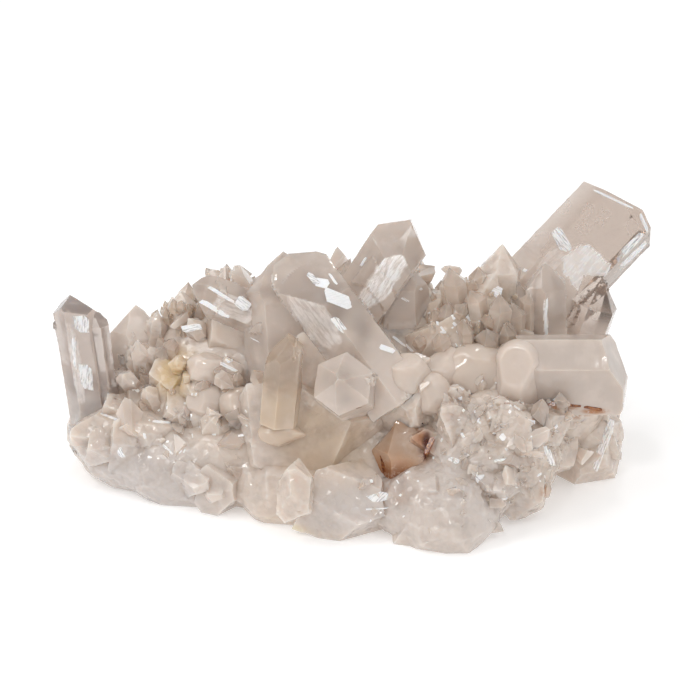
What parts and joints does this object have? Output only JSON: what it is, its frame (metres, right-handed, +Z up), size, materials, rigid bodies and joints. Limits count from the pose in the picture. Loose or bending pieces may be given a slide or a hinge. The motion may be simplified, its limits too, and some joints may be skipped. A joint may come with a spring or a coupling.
{
  "type": "quartz crystal cluster",
  "caption": "Low cluster of clear and milky quartz points on a rough base that is cut flat underneath to rest on.",
  "frame": {"origin": "middle of the whole cluster's footprint, on the flat underside", "axes": "+Z up, +X to the right along the cluster's length, show side facing -Y"},
  "size_m": [0.1536, 0.0928, 0.068],
  "materials": {
    "milky_quartz": "rough, glinting",
    "clear_quartz": "glossy, natural faces",
    "cloudy_quartz": "satin, cloudy inside",
    "rust_stained_quartz": "satin, iron stained"
  },
  "bodies": {
    "root": {"crystal_base": "milky_quartz", "centre_crystals": "clear_quartz", "tall_right_crystals": "clear_quartz", "left_end_crystals": "clear_quartz", "left_block_crystal": "cloudy_quartz", "pointed_right_crystals": "clear_quartz", "right_slab_crystal": "cloudy_quartz", "small_upright_crystal": "cloudy_quartz", "stained_crystal": "rust_stained_quartz"}
  },
  "joints": []
}
